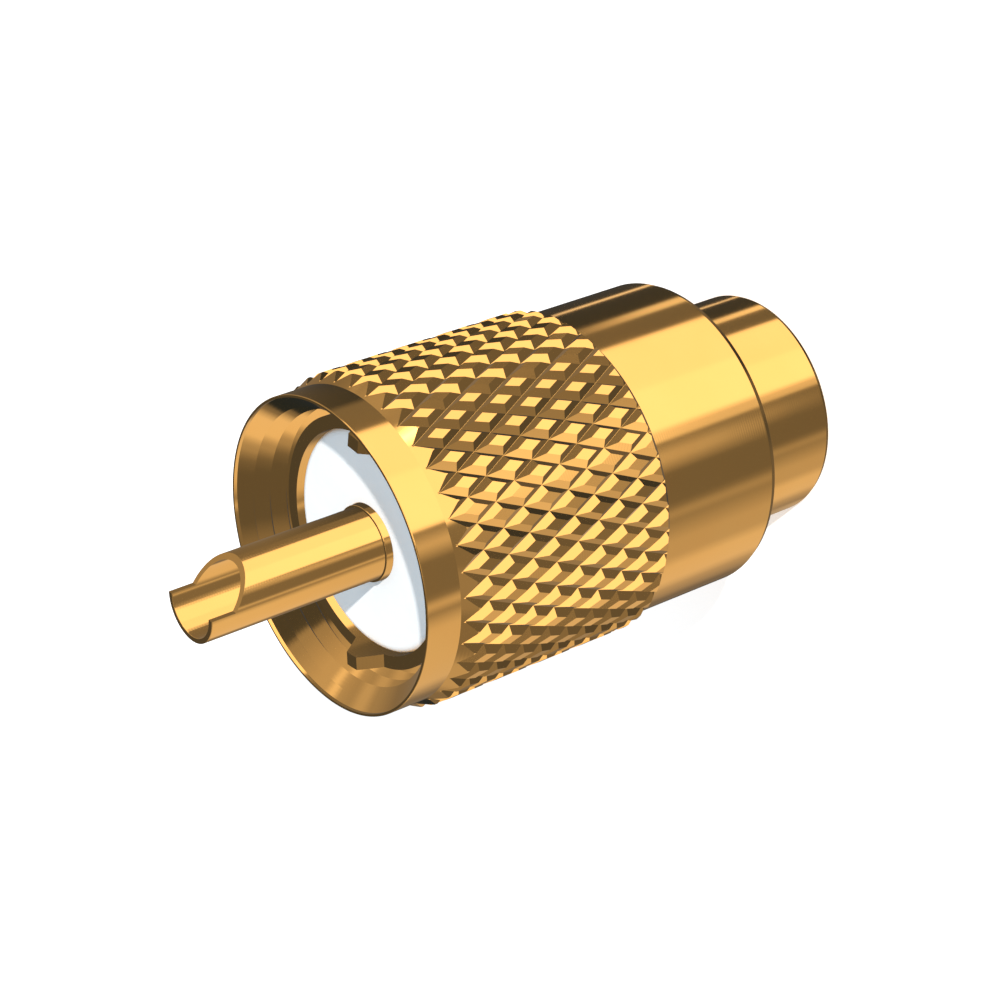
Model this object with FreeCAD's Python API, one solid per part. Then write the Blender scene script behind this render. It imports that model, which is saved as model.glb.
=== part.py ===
import FreeCAD, Part
import math
import os

# UHF coaxial plug, standing on its cable end with the centre pin up.
# Origin: centre of the tail's end face. +Z runs along the plug to the pin's tip.
# The open side of the pin's solder trough faces -Y. Lengths are in mm, angles in degrees.

# Coupling ring, outside
ring_start = 6.2            # tail left showing behind the ring
ring_length = 23.6
ring_wall = 1.25            # from the crests of the inside thread to the smooth outside
mouth_band_length = 2.1
barrel_length = 7.7
rear_edge_break = 0.12

# Coupling ring, diamond knurl
knurl_height = 0.45         # diamonds' flats above the smooth outside
knurl_root_lift = 0.05      # groove bottoms stand this much above the smooth band
knurl_count = 40            # diamonds in one turn
knurl_pitch = 2.95          # along the axis, from one row to the next but one
knurl_flat_share = 0.46     # flat top against the whole diamond
knurl_first_row = 1.7       # first full row, measured from the knurl's front end
knurl_phase = 4.8           # angle of the first full row's diamonds
knurl_skin = 0.03           # stock left above the flats before the pattern is cut

# Coupling ring, inside
mouth_land = 0.2            # flat front edge
mouth_chamfer = 0.15
lead_in_length = 1.0        # cone that guides the socket's thread
thread_minor_radius = 7.45
thread_length = 9.5         # from the mouth to the end of the thread
lip_length = 1.5            # rear lip that runs on the tail

# Plug body
jacket_radius = 5.45        # bore for the cable's jacket
jacket_depth = 9.0
jacket_lead_in = 0.4
jacket_stop = 1.05          # step from the jacket's bore down to the braid's chamber
tail_wall = 0.95
tail_edge_break = 0.25
waist_land = 2.75           # full tail left in front of the ring's lip
waist_cut = 0.4             # waist below the tail
flange_length = 4.0
flange_rise = 0.45          # crests of the flange's own thread outside the ring's thread crests
flange_edge_break = 0.4
collar_gap = 0.5            # front of the body inside the ring's thread crests
rim_recess = 2.45           # rim below the ring's mouth
rim_wall = 0.75
solder_hole_share = 0.59    # hole's width against the waist's length
solder_hole_count = 4

# Locating teeth on the rim
tooth_angles = (92.5, 262.5)
tooth_height = 1.2
tooth_tip_width = 0.85
tooth_root_width = 2.5

# Insulator
insulator_recess = 0.28     # face below the rim
insulator_head_length = 4.2
insulator_hub_length = 3.0
insulator_edge_break = 0.3

# Centre pin
pin_radius = 1.98
pin_wall = 0.3
pin_reach = 11.05           # from the insulator's face to the tip
pin_tail_length = 2.0       # behind the insulator
trough_length = 1.45        # at the sides of the pin
trough_slant = 35.5         # shoulder behind the trough, from square to the axis
pin_stem_rise = 0.17        # stem in the insulator is thicker than the pin
pin_stem_showing = 0.45     # stem in front of the insulator

# Clearances
running_gap = 0.06          # ring's lip on the tail
relief_gap = 0.15           # flange in the ring's relief
shoulder_gap = 0.05         # ring's thread end above the flange
press_gap = 0.02            # insulator in the body, pin in the insulator
overrun = 1.0               # how far a cutting shape passes the face that it cuts

full_turn = 360.0
axis_point = FreeCAD.Vector(0, 0, 0)
up = FreeCAD.Vector(0, 0, 1)

# Heights worked out from the sizes above
ring_end = ring_start + ring_length
knurl_start = ring_start + barrel_length
knurl_end = ring_end - mouth_band_length
lip_top = ring_start + lip_length
thread_end = ring_end - thread_length
flange_top = thread_end - shoulder_gap
flange_bottom = flange_top - flange_length
waist_bottom = lip_top + waist_land
waist_start = waist_bottom + waist_cut
rim_height = ring_end - rim_recess
tooth_top = rim_height + tooth_height
insulator_face = rim_height - insulator_recess
seat_height = insulator_face - insulator_head_length
hub_bottom = seat_height - insulator_hub_length
pin_tip = insulator_face + pin_reach
trough_bottom = pin_tip - trough_length
pin_bottom = hub_bottom - pin_tail_length

# Radii worked out from the sizes above
ring_radius = thread_minor_radius + ring_wall
knurl_radius = ring_radius + knurl_height
blank_radius = knurl_radius + knurl_skin
root_radius = ring_radius + knurl_root_lift
mouth_radius = ring_radius - mouth_land
tail_radius = jacket_radius + tail_wall
waist_radius = tail_radius - waist_cut
chamber_radius = jacket_radius - jacket_stop
flange_radius = thread_minor_radius + flange_rise
collar_radius = thread_minor_radius - collar_gap
seat_radius = collar_radius - rim_wall
lip_radius = tail_radius + running_gap
relief_radius = flange_radius + relief_gap
insulator_radius = seat_radius - press_gap
hub_radius = chamber_radius - press_gap
pin_stem_radius = pin_radius + pin_stem_rise
pin_hole_radius = pin_stem_radius + press_gap
pin_bore_radius = pin_radius - pin_wall
solder_hole_radius = solder_hole_share * (flange_bottom - waist_start) / 2


def at(radius, height):
    return FreeCAD.Vector(radius, 0, height)


def polar(radius, angle, height):
    turn = math.radians(angle)
    return FreeCAD.Vector(radius * math.cos(turn), radius * math.sin(turn), height)


def flat_face(corners):
    return Part.Face(Part.makePolygon(corners + [corners[0]]))


def turned(outline):
    """Solid of revolution about the plug's axis, from points given as radius and height."""
    corners = [at(radius, height) for radius, height in outline]
    return flat_face(corners).revolve(axis_point, up, full_turn)


def knurl_cell(angle, height):
    """Root corners and flat corners of one diamond, each in the order right, top, left, bottom.

    The flat lies in the plane that touches the knurl's outer radius, and each flank is a
    plane through two neighbouring root corners.
    """
    half_angle = full_turn / knurl_count / 2
    half_pitch = knurl_pitch / 2
    root = [
        polar(root_radius, angle + half_angle, height),
        polar(root_radius, angle, height + half_pitch),
        polar(root_radius, angle - half_angle, height),
        polar(root_radius, angle, height - half_pitch),
    ]
    top = polar(knurl_radius, angle, height + knurl_flat_share * half_pitch)
    bottom = polar(knurl_radius, angle, height - knurl_flat_share * half_pitch)
    outward = polar(1, angle, 0)
    sideways = polar(1, angle + 90, 0)
    normal = (root[1] - root[0]).cross(top - root[0])
    middle = outward * knurl_radius + up * height
    reach = normal.dot(top - middle) / normal.dot(sideways)
    flat = [middle + sideways * reach, top, middle - sideways * reach, bottom]
    return root, flat


def knurl_cutter():
    """Everything outside the knurled surface, as one closed solid around the ring.

    It starts and ends on the middle line of a row, past both ends of the knurl, where the
    smooth band and barrel lie below its groove bottoms.
    """
    half_angle = full_turn / knurl_count / 2
    first_row = knurl_end - knurl_first_row
    top_row = first_row + knurl_pitch
    rows = 2 * math.ceil((top_row - knurl_start + knurl_pitch / 2) / knurl_pitch)
    outer_radius = blank_radius + overrun
    faces = []
    rims = {0: [], rows: []}
    for row in range(rows + 1):
        height = top_row - row * knurl_pitch / 2
        shift = knurl_phase + (row % 2) * half_angle
        for step in range(knurl_count):
            angle = shift + step * full_turn / knurl_count
            root, flat = knurl_cell(angle, height)
            if row in rims:
                # half diamonds close the pattern on a level line
                tip = 3 if row == 0 else 1
                faces.append(flat_face([root[0], root[tip], flat[tip], flat[0]]))
                faces.append(flat_face([root[2], root[tip], flat[tip], flat[2]]))
                faces.append(flat_face([flat[0], flat[tip], flat[2]]))
                rims[row] += [root[2], flat[2], flat[0]]
            else:
                faces.append(flat_face(flat))
                for side in range(len(root)):
                    after = (side + 1) % len(root)
                    faces.append(flat_face([root[side], root[after], flat[after], flat[side]]))
    for row, corners in rims.items():
        height = top_row - row * knurl_pitch / 2
        disc = Part.Face(Part.Wire(Part.makeCircle(outer_radius, at(0, height), up)))
        faces += disc.cut(flat_face(corners)).Faces
    low = top_row - rows * knurl_pitch / 2
    wall = Part.makeCylinder(outer_radius, top_row - low, at(0, low), up)
    faces.append(wall.Faces[0])
    shell = Part.makeShell(faces)
    shell.sewShape()
    return Part.makeSolid(Part.Shell(shell.Faces))


def coupling_ring():
    rise = blank_radius - ring_radius
    outline = [
        (lip_radius, ring_start),
        (ring_radius - rear_edge_break, ring_start),
        (ring_radius, ring_start + rear_edge_break),
        (ring_radius, knurl_start),
        (blank_radius, knurl_start + rise),
        (blank_radius, knurl_end - rise),
        (ring_radius, knurl_end),
        (ring_radius, ring_end),
        (mouth_radius, ring_end),
        (mouth_radius - mouth_chamfer, ring_end - mouth_chamfer),
        (thread_minor_radius, ring_end - mouth_chamfer - lead_in_length),
        (thread_minor_radius, thread_end),
        (relief_radius, thread_end),
        (relief_radius, lip_top),
        (lip_radius, lip_top),
    ]
    return turned(outline).cut(knurl_cutter())


def tooth(angle):
    """Upright wedge through the rim's wall, wide at the root and narrow at the tip."""
    half_root = tooth_root_width / 2
    half_tip = tooth_tip_width / 2
    outline = [
        FreeCAD.Vector(0, -half_root, rim_height),
        FreeCAD.Vector(0, half_root, rim_height),
        FreeCAD.Vector(0, half_tip, tooth_top),
        FreeCAD.Vector(0, -half_tip, tooth_top),
    ]
    wedge = flat_face(outline).extrude(FreeCAD.Vector(collar_radius + overrun, 0, 0))
    wedge.rotate(axis_point, up, angle)
    return wedge


def plug_body():
    outline = [
        (jacket_radius + jacket_lead_in, 0),
        (tail_radius - tail_edge_break, 0),
        (tail_radius, tail_edge_break),
        (tail_radius, waist_bottom),
        (waist_radius, waist_start),
        (waist_radius, flange_bottom),
        (flange_radius - flange_edge_break, flange_bottom),
        (flange_radius, flange_bottom + flange_edge_break),
        (flange_radius, flange_top - flange_edge_break),
        (flange_radius - flange_edge_break, flange_top),
        (collar_radius, flange_top),
        (collar_radius, tooth_top),
        (seat_radius, tooth_top),
        (seat_radius, seat_height),
        (chamber_radius, seat_height),
        (chamber_radius, jacket_depth),
        (jacket_radius, jacket_depth),
        (jacket_radius, jacket_lead_in),
    ]
    body = turned(outline)
    between_teeth = Part.makeCylinder(collar_radius + overrun, tooth_height + overrun, at(0, rim_height), up)
    for angle in tooth_angles:
        between_teeth = between_teeth.cut(tooth(angle))
    body = body.cut(between_teeth)
    hole_middle = at(0, (waist_start + flange_bottom) / 2)
    for step in range(solder_hole_count):
        outward = polar(1, step * full_turn / solder_hole_count, 0)
        hole = Part.makeCylinder(solder_hole_radius, tail_radius + overrun, hole_middle, outward)
        body = body.cut(hole)
    return body


def insulator():
    outline = [
        (pin_hole_radius, hub_bottom),
        (hub_radius, hub_bottom),
        (hub_radius, seat_height),
        (insulator_radius, seat_height),
        (insulator_radius, insulator_face - insulator_edge_break),
        (insulator_radius - insulator_edge_break, insulator_face),
        (pin_hole_radius, insulator_face),
    ]
    return turned(outline)


def contact_pin():
    stem_top = insulator_face + pin_stem_showing
    outline = [
        (pin_bore_radius, pin_bottom),
        (pin_stem_radius, pin_bottom),
        (pin_stem_radius, stem_top),
        (pin_radius, stem_top),
        (pin_radius, pin_tip),
        (pin_bore_radius, pin_tip),
    ]
    reach = pin_radius + overrun
    fall = reach * math.tan(math.radians(trough_slant))
    side = [
        FreeCAD.Vector(-reach, 0, trough_bottom),
        FreeCAD.Vector(-reach, 0, pin_tip + overrun),
        FreeCAD.Vector(-reach, -reach, pin_tip + overrun),
        FreeCAD.Vector(-reach, -reach, trough_bottom - fall),
    ]
    open_side = flat_face(side).extrude(FreeCAD.Vector(2 * reach, 0, 0))
    return turned(outline).cut(open_side)


os.makedirs("parts", exist_ok=True)
pieces = {
    "coupling_ring": coupling_ring(),
    "plug_body": plug_body(),
    "insulator": insulator(),
    "contact_pin": contact_pin(),
}
for name, solid in pieces.items():
    solid.exportStep("parts/" + name + ".step")
    box = solid.BoundBox
    print(name, solid.isValid(), len(solid.Solids), len(solid.Faces), round(solid.Volume, 2))
    print("  from", round(box.ZMin, 3), "to", round(box.ZMax, 3))
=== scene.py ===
import math

import bmesh
import bpy
from mathutils import Matrix, Vector


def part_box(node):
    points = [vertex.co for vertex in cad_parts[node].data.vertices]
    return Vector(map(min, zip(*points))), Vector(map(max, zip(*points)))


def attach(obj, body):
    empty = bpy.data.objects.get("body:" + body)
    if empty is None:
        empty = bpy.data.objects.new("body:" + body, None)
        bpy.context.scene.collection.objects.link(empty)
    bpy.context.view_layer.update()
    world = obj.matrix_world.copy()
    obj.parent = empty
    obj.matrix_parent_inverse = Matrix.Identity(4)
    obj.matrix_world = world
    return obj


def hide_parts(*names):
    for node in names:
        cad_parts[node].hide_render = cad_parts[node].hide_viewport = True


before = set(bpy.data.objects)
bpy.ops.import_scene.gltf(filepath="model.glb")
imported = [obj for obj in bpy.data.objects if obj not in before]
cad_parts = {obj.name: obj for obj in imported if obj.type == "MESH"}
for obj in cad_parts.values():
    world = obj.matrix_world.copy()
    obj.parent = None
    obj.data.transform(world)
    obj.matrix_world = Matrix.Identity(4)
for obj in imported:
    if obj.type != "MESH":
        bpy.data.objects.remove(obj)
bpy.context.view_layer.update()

mm = 0.001
fullTurn = 2 * math.pi
past = 1            # mm that a cutting shape goes on past the piece
print("frame loaded:", sorted(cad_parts))

# Pieces are modelled in millimetres on the plug's axis and made metres when they are finished.
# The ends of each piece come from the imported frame, so the looks follow the construction.


def ends(node):
    # lowest height, highest height and outer radius of a node, in mm
    low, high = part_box(node)
    return low.z / mm, high.z / mm, high.x / mm


ringLow, ringHigh, knurlTop = ends("coupling_ring")
bodyLow, toothTop, flangeRadius = ends("plug_body")
discLow, discFace, discRadius = ends("insulator")
pinLow, pinTip, _ = ends("contact_pin")


# modelling helpers, all used in edit mode on the active piece


def pickVerts(test):
    bpy.ops.mesh.select_all(action="DESELECT")
    edit = bmesh.from_edit_mesh(bpy.context.object.data)
    for vert in edit.verts:
        vert.select_set(test(vert.co))
    edit.select_flush_mode()
    bmesh.update_edit_mesh(bpy.context.object.data)


def pickEdges(test):
    bpy.ops.mesh.select_all(action="DESELECT")
    edit = bmesh.from_edit_mesh(bpy.context.object.data)
    for edge in edit.edges:
        one, other = edge.verts
        if test(one.co, other.co):
            edge.select_set(True)
    bmesh.update_edit_mesh(bpy.context.object.data)


def drawChain(name, corners):
    # a chain of edges in the XZ plane, pulled out corner by corner; corners are (radius, height)
    bpy.ops.object.select_all(action="DESELECT")
    bpy.ops.mesh.primitive_plane_add(size=1)
    piece = bpy.context.object
    piece.name = name
    bpy.ops.object.mode_set(mode="EDIT")
    bpy.ops.mesh.merge(type="CENTER")
    bpy.ops.transform.translate(value=(corners[0][0], 0, corners[0][1]))
    for before, after in zip(corners, corners[1:]):
        move = (after[0] - before[0], 0, after[1] - before[1])
        bpy.ops.mesh.extrude_vertices_move(TRANSFORM_OT_translate={"value": move})
    return piece


def heldCorners(corners, rounds, gap=0.03):
    # a point each side of a rounded corner keeps the shading of the long faces flat
    sizes = {(radius, height): size for radius, height, size in rounds}
    held = []
    for place, corner in enumerate(corners):
        if corner not in sizes:
            held.append(corner)
            continue
        here = Vector(corner)
        before, after = corners[place - 1], corners[(place + 1) % len(corners)]
        reach = sizes[corner] + gap
        held.append(tuple(here + (Vector(before) - here).normalized() * reach))
        held.append(corner)
        held.append(tuple(here + (Vector(after) - here).normalized() * reach))
    return held


def turnedPiece(name, corners, rounds=(), steps=256):
    # a lathe job: outline, rounded corners, one full turn; rounds are (radius, height, size)
    piece = drawChain(name, heldCorners(corners, rounds))
    bpy.ops.mesh.select_all(action="SELECT")
    bpy.ops.mesh.edge_face_add()
    for radius, height, size in rounds:
        place = Vector((radius, 0, height))
        pickVerts(lambda co: (co - place).length < 0.001)
        bpy.ops.mesh.bevel(offset=size, segments=4, affect="VERTICES")
    bpy.ops.mesh.select_all(action="SELECT")
    bpy.ops.mesh.delete(type="ONLY_FACE")
    bpy.ops.mesh.select_all(action="SELECT")
    bpy.ops.mesh.spin(steps=steps, angle=fullTurn, center=(0, 0, 0), axis=(0, 0, 1))
    cleanMesh()
    bpy.ops.object.mode_set(mode="OBJECT")
    return piece


def cleanMesh():
    bpy.ops.mesh.select_all(action="SELECT")
    bpy.ops.mesh.remove_doubles(threshold=0.0005)
    bpy.ops.mesh.normals_make_consistent(inside=False)


def cutAcross(height, keepBelow):
    # slices the piece level and closes the slice
    bpy.ops.mesh.select_all(action="SELECT")
    bpy.ops.mesh.bisect(plane_co=(0, 0, height), plane_no=(0, 0, 1), use_fill=True,
                        clear_outer=keepBelow, clear_inner=not keepBelow, threshold=0.0001)


def combine(piece, tool, how):
    # boolean with a tool that is used up
    bpy.ops.object.select_all(action="DESELECT")
    piece.select_set(True)
    bpy.context.view_layer.objects.active = piece
    step = piece.modifiers.new(how.lower(), "BOOLEAN")
    step.operation = how
    step.solver = "EXACT"
    step.object = tool
    bpy.ops.object.modifier_apply(modifier=step.name)
    bpy.data.objects.remove(tool, do_unlink=True)


def finishPiece(piece, node, body, material, sharpAngle=30):
    # millimetres to metres, smooth shading that keeps the real edges, then its place in the frame
    bpy.ops.object.select_all(action="DESELECT")
    piece.select_set(True)
    bpy.context.view_layer.objects.active = piece
    piece.scale = (mm, mm, mm)
    bpy.ops.object.transform_apply(location=True, rotation=True, scale=True)
    bpy.ops.object.shade_smooth_by_angle(angle=math.radians(sharpAngle))
    piece.data.materials.clear()
    piece.data.materials.append(material)
    piece.visible_glossy = False     # the metal mirrors the studio and not its neighbours
    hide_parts(node)
    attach(piece, body)
    print(piece.name, "has", len(piece.data.polygons), "faces")


# materials


def hexColour(code):
    parts = [int(code[place:place + 2], 16) / 255 for place in (1, 3, 5)]
    return [part / 12.92 if part <= 0.04045 else ((part + 0.055) / 1.055) ** 2.4 for part in parts] + [1]


def addNode(tree, kind, settings=None, links=None):
    node = tree.nodes.new(kind)
    for name, value in (settings or {}).items():
        if isinstance(name, int) or name in node.inputs:
            node.inputs[name].default_value = value
        else:
            setattr(node, name, value)
    for name, source in (links or {}).items():
        tree.links.new(source, node.inputs[name])
    return node


def newMaterial(name):
    material = bpy.data.materials.new(name)
    material.use_nodes = True
    material.node_tree.nodes.clear()
    return material, material.node_tree


def waveScale(feed):
    # one wave in Blender spans 2 pi / 20 of a unit at scale 1; feed in mm
    return fullTurn / 20 / (feed * mm)


gold = {
    "light": "#FFDD99",      # bright plate
    "deep": "#FFD790",       # where the plate is a little thicker
    "cloud": 3.0,            # mm, size of the soft changes in colour and gloss
    "polish": (0.07, 0.12),  # roughness from the best to the dullest places
    "feed": 0.16,            # mm between turning marks; the real ones, at 0.05, would not show
    "depth": 0.0006,         # mm
}


def makeGoldPlate(name, polish=gold["polish"], depth=gold["depth"]):
    # bright gold plate on turned brass: near mirror, with faint turning marks round the axis
    material, tree = newMaterial(name)
    place = addNode(tree, "ShaderNodeTexCoord")
    clouds = addNode(tree, "ShaderNodeTexNoise", {"Scale": 1 / (gold["cloud"] * mm), "Detail": 2.0},
                     {"Vector": place.outputs["Object"]})
    colour = addNode(tree, "ShaderNodeMix", {"data_type": "RGBA", 6: hexColour(gold["light"]),
                                             7: hexColour(gold["deep"])}, {0: clouds.outputs["Fac"]})
    gloss = addNode(tree, "ShaderNodeMapRange", {"To Min": polish[0], "To Max": polish[1]},
                    {"Value": clouds.outputs["Fac"]})
    marks = addNode(tree, "ShaderNodeTexWave", {"bands_direction": "Z", "Scale": waveScale(gold["feed"])},
                    {"Vector": place.outputs["Object"]})
    bump = addNode(tree, "ShaderNodeBump", {"Strength": 0.3, "Distance": depth * mm},
                   {"Height": marks.outputs["Fac"]})
    shader = addNode(tree, "ShaderNodeBsdfPrincipled", {"Metallic": 1.0},
                     {"Base Color": colour.outputs[2], "Roughness": gloss.outputs["Result"],
                      "Normal": bump.outputs["Normal"]})
    addNode(tree, "ShaderNodeOutputMaterial", links={"Surface": shader.outputs["BSDF"]})
    return material


white = {
    "light": "#F4F6F8",
    "shade": "#E9EDF0",
    "cloud": 2.5,        # mm
    "feed": 0.12,        # mm between the rings that the cutter leaves on the face
    "depth": 0.002,      # mm
    "roughness": 0.42,
    "ior": 1.36,
}


def makeFluoropolymer(name):
    # white machined fluoropolymer: waxy, with a soft sheen and faint rings from facing
    material, tree = newMaterial(name)
    place = addNode(tree, "ShaderNodeTexCoord")
    clouds = addNode(tree, "ShaderNodeTexNoise", {"Scale": 1 / (white["cloud"] * mm)},
                     {"Vector": place.outputs["Object"]})
    colour = addNode(tree, "ShaderNodeMix", {"data_type": "RGBA", 6: hexColour(white["light"]),
                                             7: hexColour(white["shade"])}, {0: clouds.outputs["Fac"]})
    rings = addNode(tree, "ShaderNodeTexWave",
                    {"wave_type": "RINGS", "rings_direction": "Z", "Scale": waveScale(white["feed"])},
                    {"Vector": place.outputs["Object"]})
    bump = addNode(tree, "ShaderNodeBump", {"Strength": 0.4, "Distance": white["depth"] * mm},
                   {"Height": rings.outputs["Fac"]})
    shader = addNode(tree, "ShaderNodeBsdfPrincipled",
                     {"Roughness": white["roughness"], "IOR": white["ior"]},
                     {"Base Color": colour.outputs[2], "Normal": bump.outputs["Normal"]})
    addNode(tree, "ShaderNodeOutputMaterial", links={"Surface": shader.outputs["BSDF"]})
    return material


ringGold = makeGoldPlate("goldPlateKnurledRing")
bodyGold = makeGoldPlate("goldPlateTurnedBody", polish=(0.08, 0.14))
pinGold = makeGoldPlate("goldPlatePin", polish=(0.08, 0.13))
whiteDisc = makeFluoropolymer("whiteFluoropolymer")
print("materials made")


# coupling ring: turned blank, diamond knurl, inside thread

ring = {
    "outside": 8.7,
    "band": 2.1,             # smooth band at the mouth
    "barrel": 7.7,           # smooth barrel behind the knurl
    "skin": 0.03,            # blank stands this much above the diamonds
    "drillUnder": 0.05,      # the blank's bore is this much under the thread, so the tap cuts all of it
    "rearEdge": (0.15, 0.34),    # chamfer across and along
    "mouthEdge": 0.04,
    "land": 0.15,            # flat end of the mouth
    "counterbore": 0.2,
    "thread": 9.5,           # from the mouth to the end of the thread
    "relief": 8.05,
    "lipHole": 6.46,
    "lip": 1.5,
}
knurl = {
    "count": 40,
    "pitch": 2.95,
    "flatShare": 0.49,
    "root": 8.772,           # radius of the groove bottoms
    "phase": 4.8,            # degrees
    "firstRow": 1.7,         # first full row behind the front end of the knurl
    "lead": 30,              # degrees, slope of the knurl's front end
    "rootFlat": 0.006,       # mm, half the width of the worn line along the groove bottoms
}
thread = {
    "pitch": 25.4 / 24,
    "minor": 7.45,
    "major": 8.08,
    "flank": 0.63,           # mm of the pitch that the flank facing the mouth takes
    "phase": 155,            # degrees
    "runOut": 0.6,           # mm that the thread goes on into the relief
    "steps": 128,
}


def makeKnurlCore():
    halfAngle = fullTurn / knurl["count"] / 2
    root = knurl["root"]
    rise = knurlTop - root
    wide = root * math.sin(halfAngle)
    tall = knurl["pitch"] / 2
    sag = root - root * math.cos(halfAngle)
    # the flat is as wide as keeps each flank in one plane
    flatTall = knurl["flatShare"]
    low = Vector((root - sag, wide, 0))
    top = Vector((root, 0, tall))
    flatTop = Vector((root + rise, 0, flatTall * tall))
    square = (top - low).cross(flatTop - low)
    flatWide = square.z * flatTall * tall / square.y / wide

    bpy.ops.object.select_all(action="DESELECT")
    bpy.ops.mesh.primitive_circle_add(vertices=4, radius=1, fill_type="NGON",
                                      rotation=(0, math.pi / 2, 0))
    core = bpy.context.object
    core.name = "knurlCore"
    bpy.ops.object.transform_apply(location=False, rotation=True, scale=True)
    # one diamond: root outline, flat drawn out of it, side corners let down to the groove radius
    bpy.ops.object.mode_set(mode="EDIT")
    bpy.ops.transform.resize(value=(1, wide, tall), center_override=(0, 0, 0))
    bpy.ops.transform.translate(value=(root, 0, 0))
    bpy.ops.mesh.extrude_region_move(TRANSFORM_OT_translate={"value": (rise, 0, 0)})
    bpy.ops.transform.resize(value=(1, flatWide, flatTall), center_override=(root + rise, 0, 0))
    pickVerts(lambda co: co.x < root + 0.01)
    bpy.ops.mesh.delete(type="ONLY_FACE")
    pickVerts(lambda co: abs(co.y) > 0.9 * wide)
    bpy.ops.transform.translate(value=(-sag, 0, 0))
    # once round, then the shifted row between
    bpy.ops.mesh.select_all(action="SELECT")
    bpy.ops.mesh.spin(steps=knurl["count"] - 1, dupli=True, center=(0, 0, 0), axis=(0, 0, 1),
                      angle=fullTurn * (knurl["count"] - 1) / knurl["count"])
    bpy.ops.mesh.select_all(action="SELECT")
    bpy.ops.mesh.duplicate_move(TRANSFORM_OT_translate={"value": (0, 0, tall)})
    bpy.ops.transform.rotate(value=halfAngle, orient_axis="Z", center_override=(0, 0, 0))
    bpy.ops.object.mode_set(mode="OBJECT")
    # rows up and down the whole ring; the grooves stand clear of the band and the barrel
    firstRow = ringHigh - ring["band"] - knurl["firstRow"]
    below = math.ceil((firstRow - ringLow) / knurl["pitch"]) + 1
    above = math.ceil((ringHigh - firstRow) / knurl["pitch"]) + 1
    rows = core.modifiers.new("rows", "ARRAY")
    rows.count = below + above
    rows.use_relative_offset = False
    rows.use_constant_offset = True
    rows.constant_offset_displace = (0, 0, knurl["pitch"])
    bpy.ops.object.modifier_apply(modifier=rows.name)
    core.location.z = firstRow - below * knurl["pitch"]
    core.rotation_euler.z = math.radians(knurl["phase"])
    bpy.ops.object.transform_apply(location=True, rotation=True, scale=True)
    bpy.ops.object.mode_set(mode="EDIT")
    bpy.ops.mesh.select_all(action="SELECT")
    bpy.ops.mesh.remove_doubles(threshold=0.001)
    # the grooves that climb to the right have a narrow flat at the bottom
    pickEdges(lambda one, other: max(one.xy.length, other.xy.length) < root + 0.01
              and (other.z - one.z) * one.xy.angle_signed(other.xy) > 0)
    bpy.ops.mesh.bevel(offset=knurl["rootFlat"], segments=1, affect="EDGES")
    cutAcross(ringLow - past, keepBelow=False)
    cutAcross(ringHigh + past, keepBelow=True)
    cleanMesh()
    bpy.ops.object.mode_set(mode="OBJECT")
    return core


def makeThreadTap():
    # the shape that the tap cuts: a rod with a right-hand thread, closed at both ends
    top = ringHigh + past
    bottom = ringHigh - ring["thread"] - thread["runOut"]
    turns = math.ceil((top - bottom) / thread["pitch"]) + 2
    start = top + thread["pitch"]
    tap = drawChain("threadTap", [
        (thread["minor"], start),
        (thread["major"], start + thread["flank"]),
        (thread["minor"], start + thread["pitch"]),
    ])
    bpy.ops.mesh.select_all(action="SELECT")
    bpy.ops.mesh.screw(steps=thread["steps"], turns=turns, center=(0, 0, 0), axis=(0, 0, -1))
    bpy.ops.mesh.select_all(action="SELECT")
    bpy.ops.mesh.remove_doubles(threshold=0.0005)
    cutAcross(top, keepBelow=True)
    cutAcross(bottom, keepBelow=False)
    cleanMesh()
    bpy.ops.object.mode_set(mode="OBJECT")
    tap.rotation_euler.z = math.radians(thread["phase"])
    bpy.ops.object.transform_apply(location=True, rotation=True, scale=True)
    return tap


def makeRing():
    outside = ring["outside"]
    top = knurlTop + ring["skin"]
    rise = top - outside
    knurlLow = ringLow + ring["barrel"]
    knurlHigh = ringHigh - ring["band"]
    mouth = outside - ring["land"]
    rearAcross, rearAlong = ring["rearEdge"]
    seatHeight = ringHigh - ring["counterbore"]
    threadEnd = ringHigh - ring["thread"]
    drill = thread["minor"] - ring["drillUnder"]
    blank = turnedPiece("couplingRingTurned", [
        (ring["lipHole"], ringLow),
        (outside - rearAcross, ringLow),
        (outside, ringLow + rearAlong),
        (outside, knurlLow),
        (top, knurlLow + rise),
        (top, knurlHigh - rise / math.tan(math.radians(knurl["lead"]))),
        (outside, knurlHigh),
        (outside, ringHigh),
        (mouth, ringHigh),
        (mouth, seatHeight),
        (drill, seatHeight - (mouth - drill)),
        (drill, threadEnd),
        (ring["relief"], threadEnd),
        (ring["relief"], ringLow + ring["lip"]),
        (ring["lipHole"], ringLow + ring["lip"]),
    ], rounds=[
        (ring["lipHole"], ringLow, 0.05),
        (outside - rearAcross, ringLow, 0.03),
        (outside, ringLow + rearAlong, 0.01),
        (outside, ringHigh, ring["mouthEdge"]),
    ])
    combine(blank, makeThreadTap(), "DIFFERENCE")
    combine(blank, makeKnurlCore(), "INTERSECT")
    finishPiece(blank, "coupling_ring", "ring", ringGold, sharpAngle=20)


makeRing()


# plug body: turned, with solder holes, and two teeth left standing on the rim

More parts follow.
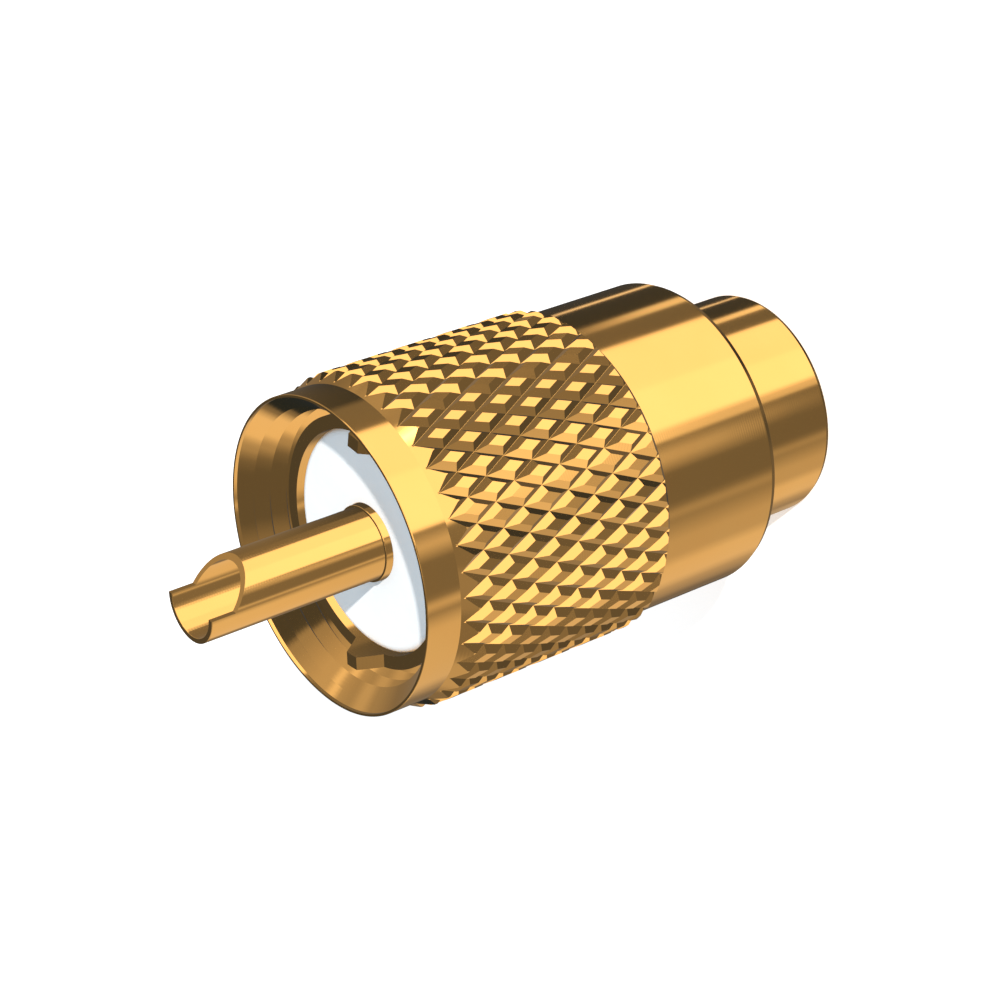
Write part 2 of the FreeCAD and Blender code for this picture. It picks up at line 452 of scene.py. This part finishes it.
body = {
    "tail": 6.4,
    "tailEdge": (0.11, 0.25),    # chamfer across and along
    "cableHole": 5.45,
    "cableDepth": 9.0,
    "cableEdge": 0.4,
    "chamber": 4.4,
    "waist": 6.0,
    "waistLow": 10.45,
    "flangeLow": 16.25,
    "flangeHigh": 20.25,
    "flangeEdge": 0.4,
    "collar": 6.95,
    "seat": 6.2,
    "seatDepth": 4.2,        # from the insulator's face to the shoulder that it rests on
    "rimBelowMouth": 2.45,
    "hole": 1.593,
    "holes": 4,
}
tooth = {
    "angles": (92.5, 262.5),
    "tipWidth": 0.85,
    "rootWidth": 2.5,
}


def makeWedge(angle, low, high):
    # a block across the wall, narrowed to the tooth's tip
    bpy.ops.object.select_all(action="DESELECT")
    middle = body["collar"]
    bpy.ops.mesh.primitive_cube_add(size=1, location=(middle, 0, (low + high) / 2))
    wedge = bpy.context.object
    wedge.name = "toothWedge"
    bpy.ops.object.mode_set(mode="EDIT")
    bpy.ops.transform.resize(value=(middle, tooth["rootWidth"], high - low),
                             center_override=(middle, 0, (low + high) / 2))
    pickVerts(lambda co: co.z > 0)
    bpy.ops.transform.resize(value=(1, tooth["tipWidth"] / tooth["rootWidth"], 1),
                             center_override=(middle, 0, high))
    # the block goes on below, so that the cuts cross it cleanly
    pickVerts(lambda co: co.z < 0)
    bpy.ops.mesh.extrude_region_move(TRANSFORM_OT_translate={"value": (0, 0, -past)})
    bpy.ops.object.mode_set(mode="OBJECT")
    bpy.ops.object.transform_apply(location=True, rotation=True, scale=True)
    wedge.rotation_euler.z = math.radians(angle)
    bpy.ops.object.transform_apply(location=True, rotation=True, scale=True)
    return wedge


def makeBody():
    rim = ringHigh - body["rimBelowMouth"]
    seatHeight = discFace - body["seatDepth"]
    waistStep = body["tail"] - body["waist"]
    tailAcross, tailAlong = body["tailEdge"]
    turned = turnedPiece("plugBodyTurned", [
        (body["cableHole"] + body["cableEdge"], bodyLow),
        (body["tail"] - tailAcross, bodyLow),
        (body["tail"], bodyLow + tailAlong),
        (body["tail"], body["waistLow"]),
        (body["waist"], body["waistLow"] + waistStep),
        (body["waist"], body["flangeLow"]),
        (flangeRadius - body["flangeEdge"], body["flangeLow"]),
        (flangeRadius, body["flangeLow"] + body["flangeEdge"]),
        (flangeRadius, body["flangeHigh"] - body["flangeEdge"]),
        (flangeRadius - body["flangeEdge"], body["flangeHigh"]),
        (body["collar"], body["flangeHigh"]),
        (body["collar"], toothTop),
        (body["seat"], toothTop),
        (body["seat"], seatHeight),
        (body["chamber"], seatHeight),
        (body["chamber"], body["cableDepth"]),
        (body["cableHole"], body["cableDepth"]),
        (body["cableHole"], bodyLow + body["cableEdge"]),
    ], rounds=[
        (body["tail"] - tailAcross, bodyLow, 0.03),
        (body["tail"], bodyLow + tailAlong, 0.01),
        (body["cableHole"] + body["cableEdge"], bodyLow, 0.04),
    ], steps=192)
    # between the teeth the wall is milled down to the rim
    bpy.ops.object.select_all(action="DESELECT")
    above = toothTop - rim + past
    bpy.ops.mesh.primitive_cylinder_add(vertices=48, radius=body["collar"] + past, depth=above,
                                        location=(0, 0, rim + above / 2))
    milled = bpy.context.object
    bpy.ops.object.transform_apply(location=True, rotation=True, scale=True)
    for angle in tooth["angles"]:
        combine(milled, makeWedge(angle, rim, toothTop), "DIFFERENCE")
    combine(turned, milled, "DIFFERENCE")
    # solder holes through the waist
    middle = (body["waistLow"] + waistStep + body["flangeLow"]) / 2
    for count in range(body["holes"] // 2):
        bpy.ops.object.select_all(action="DESELECT")
        bpy.ops.mesh.primitive_cylinder_add(vertices=64, radius=body["hole"], depth=4 * body["tail"],
                                            location=(0, 0, middle),
                                            rotation=(math.pi / 2, 0, count * math.pi / 2))
        drill = bpy.context.object
        bpy.ops.object.transform_apply(location=True, rotation=True, scale=True)
        combine(turned, drill, "DIFFERENCE")
    finishPiece(turned, "plug_body", "plug", bodyGold)


makeBody()


# insulator: white disc with a round front edge and a hub behind

disc = {
    "hub": 4.38,
    "hubLength": 3.0,
    "hole": 2.12,
    "edge": 0.4,
    "holeEdge": 0.04,
}


def makeInsulator():
    seat = discLow + disc["hubLength"]
    piece = turnedPiece("insulatorDisc", [
        (disc["hole"], discLow),
        (disc["hub"], discLow),
        (disc["hub"], seat),
        (discRadius, seat),
        (discRadius, discFace),
        (disc["hole"], discFace),
    ], rounds=[
        (discRadius, discFace, disc["edge"]),
        (disc["hole"], discFace, disc["holeEdge"]),
    ], steps=192)
    finishPiece(piece, "insulator", "plug", whiteDisc)


makeInsulator()


# contact pin: a tube on a thicker stem, its tip cut to a half-round trough

pin = {
    "radius": 1.98,
    "wall": 0.3,
    "stem": 2.105,
    "stemShowing": 0.41,
    "trough": 1.45,          # length at the sides of the pin
    "slant": 35.5,           # degrees, the shoulder behind the trough
    "edge": 0.03,
    "stemEdge": 0.025,
}


def makePin():
    stemTop = discFace + pin["stemShowing"]
    bore = pin["radius"] - pin["wall"]
    piece = turnedPiece("contactPinTube", [
        (bore, pinLow),
        (pin["stem"], pinLow),
        (pin["stem"], stemTop),
        (pin["radius"], stemTop),
        (pin["radius"], pinTip),
        (bore, pinTip),
    ], rounds=[
        (pin["stem"], stemTop, pin["stemEdge"]),
        (pin["radius"], pinTip, pin["edge"]),
        (bore, pinTip, pin["edge"]),
    ], steps=128)
    # the open side faces -Y, and the shoulder behind it leans back towards the ring
    side = 3 * pin["radius"]
    bpy.ops.object.select_all(action="DESELECT")
    bpy.ops.mesh.primitive_cube_add(size=side, location=(0, -side / 2, pinTip - pin["trough"] + side / 2))
    cutter = bpy.context.object
    bpy.ops.object.transform_apply(location=True, rotation=True, scale=True)
    bpy.ops.object.mode_set(mode="EDIT")
    pickVerts(lambda co: co.y < -side / 2 and co.z < pinTip)
    bpy.ops.transform.translate(value=(0, 0, -side * math.tan(math.radians(pin["slant"]))))
    bpy.ops.object.mode_set(mode="OBJECT")
    combine(piece, cutter, "DIFFERENCE")
    finishPiece(piece, "contact_pin", "plug", pinGold)


makePin()
print("pieces made")


# floor, light and camera

studio = {
    "floorSize": 3.0,            # m
    "floorTone": "#E6E8EA",
    "floorLift": (0.46, 0.36, 0.28, 1),  # seen by the camera only, so that the lit floor is white
    "fill": (0.75, 0.90, 1.01),  # plain light from all round
    "keyTurn": -133.5,           # degrees, where the key light stands
    "keyHeight": 24.4,
    "keyPower": 4.4,
    "keyColour": (1.0, 0.95, 0.89),
    "keySize": 1.6,              # degrees
}
# What polished metal sees, box by box; a later box stands before the ones above it.
# Turn and height are the box's ends in degrees, from +X round to +Y and up from level. The level
# is its brightness, and each pair has the softness of its edges after it.
allRound = (-180, 180)
boxes = [
    ("low room", allRound, 0, (-90, 90), 0, 0.155),
    ("high room", allRound, 0, (-34, 95), 8, 0.23),
    ("dim floor left", (-64, -26), 8, (-95, -44), 4, 0.045),
    ("dim floor right", (68, 97), 5, (-51.5, -43), 1.5, 0.06),
    ("dim floor back", (116, 150), 8, (-95, -55), 6, 0.09),
    ("ceiling light", allRound, 0, (70, 110), 5, 1.2),
    ("ceiling back left", (112, 166), 8, (22, 68), 4, 0.125),
    ("back wall top", (146, 176), 3, (8, 33), 2, 0.32),
    ("ceiling back right", (-112.5, -83), 2, (38, 68), 6, 0.07),
    ("ceiling front", (-81, 14), 2, (5, 66), 6, 0.36),
    ("ceiling front core", (-62, -32), 12, (12, 66), 8, 0.55),
    ("ceiling strip", (-40, -34), 2, (10, 60), 8, 0.92),
    ("ceiling thin strip", (-21, -11), 3, (4, 31), 3, 0.54),
    ("side lamp glow", (75.5, 108), 4, (7, 36), 4, 0.42),
    ("side lamp", (76, 98), 3.5, (7, 30), 4, 0.86),
    ("black card", (40, 70), 2, (-19, 8), 2, 0.02),
    ("dark front card", (16, 56), 4, (16, 56), 6, 0.075),
    ("dark side card", (-40, 47), 3, (-50, -29.8), 1, 0.05),
    ("side wall glow", (-40, 0), 5, (-28.4, -27.0), 0.6, 0.19),
    ("low side panel", (36, 71), 3, (-46, -38), 0.8, 0.17),
    ("low side panel top", (36, 71), 3, (-40.3, -38), 0.8, 0.53),
    ("back wall", (66, 160.5), 4, (-50, -20), 3, 0.30),
    ("back panel", (77, 142), 9, (-48, -22), 2, 0.53),
    ("back panel core", (88, 114), 5, (-46, -20), 2, 0.76),
    ("back panel top", (82, 143.5), 6, (-33.5, -24), 1.5, 0.67),
    ("back panel crest", (74, 137), 4, (-29.8, -24), 1, 0.78),
    ("high back panel", (84, 127), 5, (-21, 8), 2, 0.52),
    ("high back panel end", (111, 128), 5, (-14, -3), 2.5, 0.80),
    ("small lamp glow", (150, 171), 3, (-6, 8), 2, 0.32),
    ("small lamp", (126.5, 155.8), 3, (-9, 4), 1.5, 1.1),
    ("back strip", (152.5, 158), 2.5, (-42, -33), 3, 0.40),
    ("back strip top", (152.5, 158.5), 2.5, (-34, -24), 2, 0.62),
    ("left strip low", (-169, -155), 5, (-38.8, -34), 1.2, 0.58),
    ("left strip", (-168, -156), 5, (-35, -27), 1.5, 0.62),
    ("window shoulder", (-151, -140), 1.2, (-54, -29), 1, 0.76),
    ("window low left", (-142.8, -105), 2, (-54, -34), 1.5, 1.58),
    ("window low right", (-110, -69.3), 1.8, (-54, -34), 1.5, 1.45),
    ("window middle left", (-150.5, -105), 1.5, (-36, -26), 1.5, 1.58),
    ("window middle right", (-110, -69.3), 1.8, (-36, -26), 1.5, 1.45),
    ("window top left", (-158.5, -105), 2, (-27.5, 18), 1.5, 1.50),
    ("window top right", (-110, -59.5), 1.5, (-26.5, 10), 1.5, 1.50),
    ("window high", (-153, -80), 2, (9, 36), 3, 1.50),
    ("key lamp", (-92, -86.5), 3, (15, 27), 3, 4.5),
    ("wide strip light", (-48.5, -41), 1.4, (-46, -36.6), 0.8, 0.95),
    ("wide strip low", (-47.8, -41.5), 1.2, (-46, -39.2), 0.5, 1.35),
    ("thin strip light", (-10.5, -6.5), 1.5, (-41, -35), 1, 1.15),
]
warm = (1.0, 0.72, 0.44)         # the boxes' paper
bounce = 0.04                    # plain light that fills the darkest cards


def addFade(tree, angle, ends, soft, wrap):
    # 1 between the two ends, 0 outside them
    middle, half = (ends[0] + ends[1]) / 2, (ends[1] - ends[0]) / 2
    away = addNode(tree, "ShaderNodeMath", {"operation": "SUBTRACT", 1: middle}, {0: angle})
    if wrap:
        away = addNode(tree, "ShaderNodeMath", {"operation": "WRAP", 1: 180, 2: -180},
                       {0: away.outputs[0]})
    away = addNode(tree, "ShaderNodeMath", {"operation": "ABSOLUTE"}, {0: away.outputs[0]})
    return addNode(tree, "ShaderNodeMapRange", {"From Min": half + soft, "From Max": half - soft},
                   {"Value": away.outputs[0]}).outputs[0]


def makeWorld():
    world = bpy.data.worlds.new("studio")
    bpy.context.scene.world = world
    world.use_nodes = True
    world.cycles.sampling_method = "NONE"
    tree = world.node_tree
    tree.nodes.clear()
    place = addNode(tree, "ShaderNodeTexCoord")
    around = addNode(tree, "ShaderNodeTexGradient", {"gradient_type": "RADIAL"},
                     {"Vector": place.outputs["Generated"]})
    turn = addNode(tree, "ShaderNodeMapRange", {"To Min": -180, "To Max": 180},
                   {"Value": around.outputs["Fac"]})
    split = addNode(tree, "ShaderNodeSeparateXYZ", links={"Vector": place.outputs["Generated"]})
    slope = addNode(tree, "ShaderNodeMath", {"operation": "ARCSINE"}, {0: split.outputs["Z"]})
    height = addNode(tree, "ShaderNodeMath", {"operation": "DEGREES"}, {0: slope.outputs[0]})
    level = None
    for name, turnEnds, turnSoft, heightEnds, heightSoft, boxLevel in boxes:
        if level is None:
            level = addNode(tree, "ShaderNodeValue")
            level.outputs[0].default_value = boxLevel
            continue
        fade = addFade(tree, height.outputs[0], heightEnds, heightSoft, wrap=False)
        if turnEnds != allRound:
            across = addFade(tree, turn.outputs[0], turnEnds, turnSoft, wrap=True)
            both = addNode(tree, "ShaderNodeMath", {"operation": "MULTIPLY"}, {0: fade, 1: across})
            fade = both.outputs[0]
        level = addNode(tree, "ShaderNodeMapRange", {"To Max": boxLevel},
                        {"Value": fade, "To Min": level.outputs[0]})
        level.label = name
    # paper colour on the light that comes from a box, none on the light that fills the room
    own = addNode(tree, "ShaderNodeMath", {"operation": "SUBTRACT", 1: bounce}, {0: level.outputs[0]})
    paper = addNode(tree, "ShaderNodeVectorMath", {"operation": "SCALE", 0: warm},
                    {"Scale": own.outputs[0]})
    seen = addNode(tree, "ShaderNodeVectorMath", {"operation": "ADD", 1: (bounce, bounce, bounce)},
                   {0: paper.outputs[0]})
    ray = addNode(tree, "ShaderNodeLightPath")
    lit = addNode(tree, "ShaderNodeMix", {"data_type": "RGBA", 6: (*studio["fill"], 1)},
                  {0: ray.outputs["Is Glossy Ray"], 7: seen.outputs[0]})
    shown = addNode(tree, "ShaderNodeMix", {"data_type": "RGBA", 7: (1, 1, 1, 1)},
                    {0: ray.outputs["Is Camera Ray"], 6: lit.outputs[2]})
    glow = addNode(tree, "ShaderNodeBackground", {"Strength": 1.0}, {"Color": shown.outputs[2]})
    addNode(tree, "ShaderNodeOutputWorld", links={"Surface": glow.outputs["Background"]})


def makeFloor():
    bpy.ops.object.select_all(action="DESELECT")
    bpy.ops.mesh.primitive_plane_add(size=studio["floorSize"], location=(0, 0, 0))
    floor = bpy.context.object
    floor.name = "floor"
    floor.visible_glossy = False     # upright metal mirrors the boxes, not the floor
    material, tree = newMaterial("paleCard")
    ray = addNode(tree, "ShaderNodeLightPath")
    card = addNode(tree, "ShaderNodeBsdfDiffuse", {"Color": hexColour(studio["floorTone"])})
    lift = addNode(tree, "ShaderNodeEmission", {"Color": studio["floorLift"], "Strength": 1.0})
    nothing = addNode(tree, "ShaderNodeEmission", {"Strength": 0.0})
    toCamera = addNode(tree, "ShaderNodeMixShader",
                       links={0: ray.outputs["Is Camera Ray"], 1: nothing.outputs[0], 2: lift.outputs[0]})
    both = addNode(tree, "ShaderNodeAddShader", links={0: card.outputs[0], 1: toCamera.outputs[0]})
    addNode(tree, "ShaderNodeOutputMaterial", links={"Surface": both.outputs[0]})
    floor.data.materials.append(material)


def makeKeyLight():
    bpy.ops.object.light_add(type="SUN")
    key = bpy.context.object
    key.name = "keyLight"
    key.data.energy = studio["keyPower"]
    key.data.color = studio["keyColour"]
    key.data.angle = math.radians(studio["keySize"])
    key.visible_glossy = False
    turn = math.radians(studio["keyTurn"])
    height = math.radians(studio["keyHeight"])
    level = math.cos(height)
    toLight = Vector((math.cos(turn) * level, math.sin(turn) * level, math.sin(height)))
    key.rotation_euler = toLight.to_track_quat("Z", "Y").to_euler()


cameraSpot = {
    "azimuth": -56.165,      # degrees, 0 looks along +Y
    "elevation": 33.340,
    "roll": -110.038,
    "distance": 152.812,     # mm
    "aim": (-0.168, 0.250, 18.501),
    "lens": 102.3,
}


def makeCamera():
    bpy.ops.object.camera_add()
    camera = bpy.context.object
    camera.data.sensor_width = 36
    camera.data.lens = cameraSpot["lens"]
    camera.data.clip_start = 0.01
    turn = (Matrix.Rotation(math.radians(cameraSpot["azimuth"]), 4, "Z")
            @ Matrix.Rotation(math.radians(90 - cameraSpot["elevation"]), 4, "X")
            @ Matrix.Rotation(math.radians(cameraSpot["roll"]), 4, "Z"))
    spot = Vector(cameraSpot["aim"]) * mm + turn @ Vector((0, 0, cameraSpot["distance"] * mm))
    camera.matrix_world = Matrix.Translation(spot) @ turn
    bpy.context.scene.camera = camera


makeWorld()
makeFloor()
makeKeyLight()
makeCamera()
bpy.context.scene.view_settings.view_transform = "Standard"
print("studio made")
